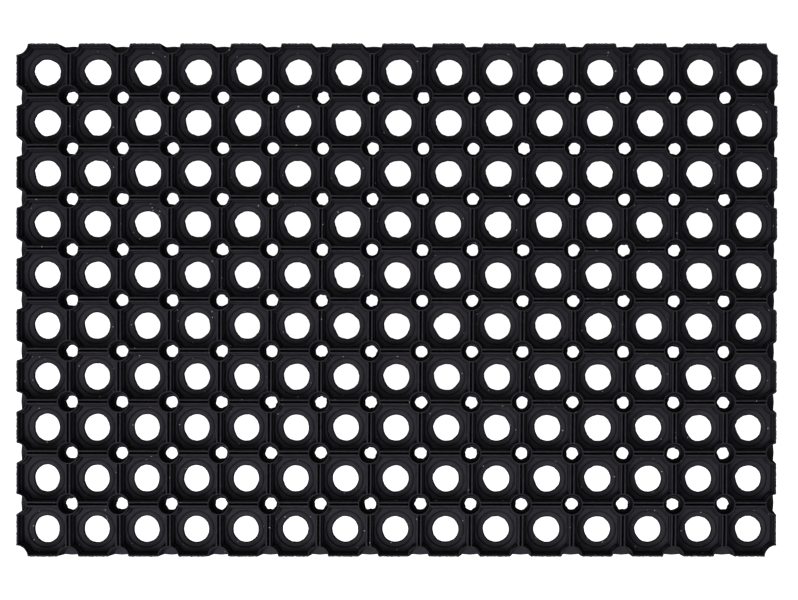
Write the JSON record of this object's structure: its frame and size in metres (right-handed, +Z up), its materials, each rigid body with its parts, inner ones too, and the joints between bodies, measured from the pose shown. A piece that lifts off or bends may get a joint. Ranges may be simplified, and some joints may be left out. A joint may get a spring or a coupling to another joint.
{
  "type": "door mat",
  "caption": "Rectangular black rubber door mat: an open grid of round-drained scraper cells that bends along the slots between its cells.",
  "frame": {"origin": "middle of the mat's footprint, on the surface that it lies on", "axes": "+X along the mat's long side, +Y along its short side, +Z up out of the tread side"},
  "size_m": [0.6, 0.405, 0.022],
  "materials": {
    "black_rubber": "matte moulded rubber with slightly polished lips"
  },
  "bodies": {
    "cell_column_01": {"cell_column_01": "black_rubber"},
    "cell_column_02": {"cell_column_02": "black_rubber"},
    "cell_column_03": {"cell_column_03": "black_rubber"},
    "cell_column_04": {"cell_column_04": "black_rubber"},
    "cell_column_05": {"cell_column_05": "black_rubber"},
    "cell_column_06": {"cell_column_06": "black_rubber"},
    "cell_column_07": {"cell_column_07": "black_rubber"},
    "cell_column_08": {"cell_column_08": "black_rubber"},
    "cell_column_09": {"cell_column_09": "black_rubber"},
    "cell_column_10": {"cell_column_10": "black_rubber"},
    "cell_column_11": {"cell_column_11": "black_rubber"},
    "cell_column_12": {"cell_column_12": "black_rubber"},
    "cell_column_13": {"cell_column_13": "black_rubber"},
    "cell_column_14": {"cell_column_14": "black_rubber"},
    "cell_column_15": {"cell_column_15": "black_rubber"}
  },
  "joints": [
    {"name": "slot_bend_08_09", "type": "hinge", "parent": "cell_column_08", "child": "cell_column_09", "pos_m": [0.01992, 0, 0], "axis": [0, 1, 0], "range_deg": [-3.5, 20], "stiffness_Nm_per_rad": 1.2},
    {"name": "slot_bend_09_10", "type": "hinge", "parent": "cell_column_09", "child": "cell_column_10", "pos_m": [0.05976, 0, 0], "axis": [0, 1, 0], "range_deg": [-3.5, 20], "stiffness_Nm_per_rad": 1.2},
    {"name": "slot_bend_10_11", "type": "hinge", "parent": "cell_column_10", "child": "cell_column_11", "pos_m": [0.0996, 0, 0], "axis": [0, 1, 0], "range_deg": [-3.5, 20], "stiffness_Nm_per_rad": 1.2},
    {"name": "slot_bend_11_12", "type": "hinge", "parent": "cell_column_11", "child": "cell_column_12", "pos_m": [0.13944, 0, 0], "axis": [0, 1, 0], "range_deg": [-3.5, 20], "stiffness_Nm_per_rad": 1.2},
    {"name": "slot_bend_12_13", "type": "hinge", "parent": "cell_column_12", "child": "cell_column_13", "pos_m": [0.17928, 0, 0], "axis": [0, 1, 0], "range_deg": [-3.5, 20], "stiffness_Nm_per_rad": 1.2},
    {"name": "slot_bend_13_14", "type": "hinge", "parent": "cell_column_13", "child": "cell_column_14", "pos_m": [0.21912, 0, 0], "axis": [0, 1, 0], "range_deg": [-3.5, 20], "stiffness_Nm_per_rad": 1.2},
    {"name": "slot_bend_14_15", "type": "hinge", "parent": "cell_column_14", "child": "cell_column_15", "pos_m": [0.25896, 0, 0], "axis": [0, 1, 0], "range_deg": [-3.5, 20], "stiffness_Nm_per_rad": 1.2},
    {"name": "slot_bend_07_08", "type": "hinge", "parent": "cell_column_08", "child": "cell_column_07", "pos_m": [-0.01992, 0, 0], "axis": [0, -1, 0], "range_deg": [-3.5, 20], "stiffness_Nm_per_rad": 1.2},
    {"name": "slot_bend_06_07", "type": "hinge", "parent": "cell_column_07", "child": "cell_column_06", "pos_m": [-0.05976, 0, 0], "axis": [0, -1, 0], "range_deg": [-3.5, 20], "stiffness_Nm_per_rad": 1.2},
    {"name": "slot_bend_05_06", "type": "hinge", "parent": "cell_column_06", "child": "cell_column_05", "pos_m": [-0.0996, 0, 0], "axis": [0, -1, 0], "range_deg": [-3.5, 20], "stiffness_Nm_per_rad": 1.2},
    {"name": "slot_bend_04_05", "type": "hinge", "parent": "cell_column_05", "child": "cell_column_04", "pos_m": [-0.13944, 0, 0], "axis": [0, -1, 0], "range_deg": [-3.5, 20], "stiffness_Nm_per_rad": 1.2},
    {"name": "slot_bend_03_04", "type": "hinge", "parent": "cell_column_04", "child": "cell_column_03", "pos_m": [-0.17928, 0, 0], "axis": [0, -1, 0], "range_deg": [-3.5, 20], "stiffness_Nm_per_rad": 1.2},
    {"name": "slot_bend_02_03", "type": "hinge", "parent": "cell_column_03", "child": "cell_column_02", "pos_m": [-0.21912, 0, 0], "axis": [0, -1, 0], "range_deg": [-3.5, 20], "stiffness_Nm_per_rad": 1.2},
    {"name": "slot_bend_01_02", "type": "hinge", "parent": "cell_column_02", "child": "cell_column_01", "pos_m": [-0.25896, 0, 0], "axis": [0, -1, 0], "range_deg": [-3.5, 20], "stiffness_Nm_per_rad": 1.2}
  ]
}
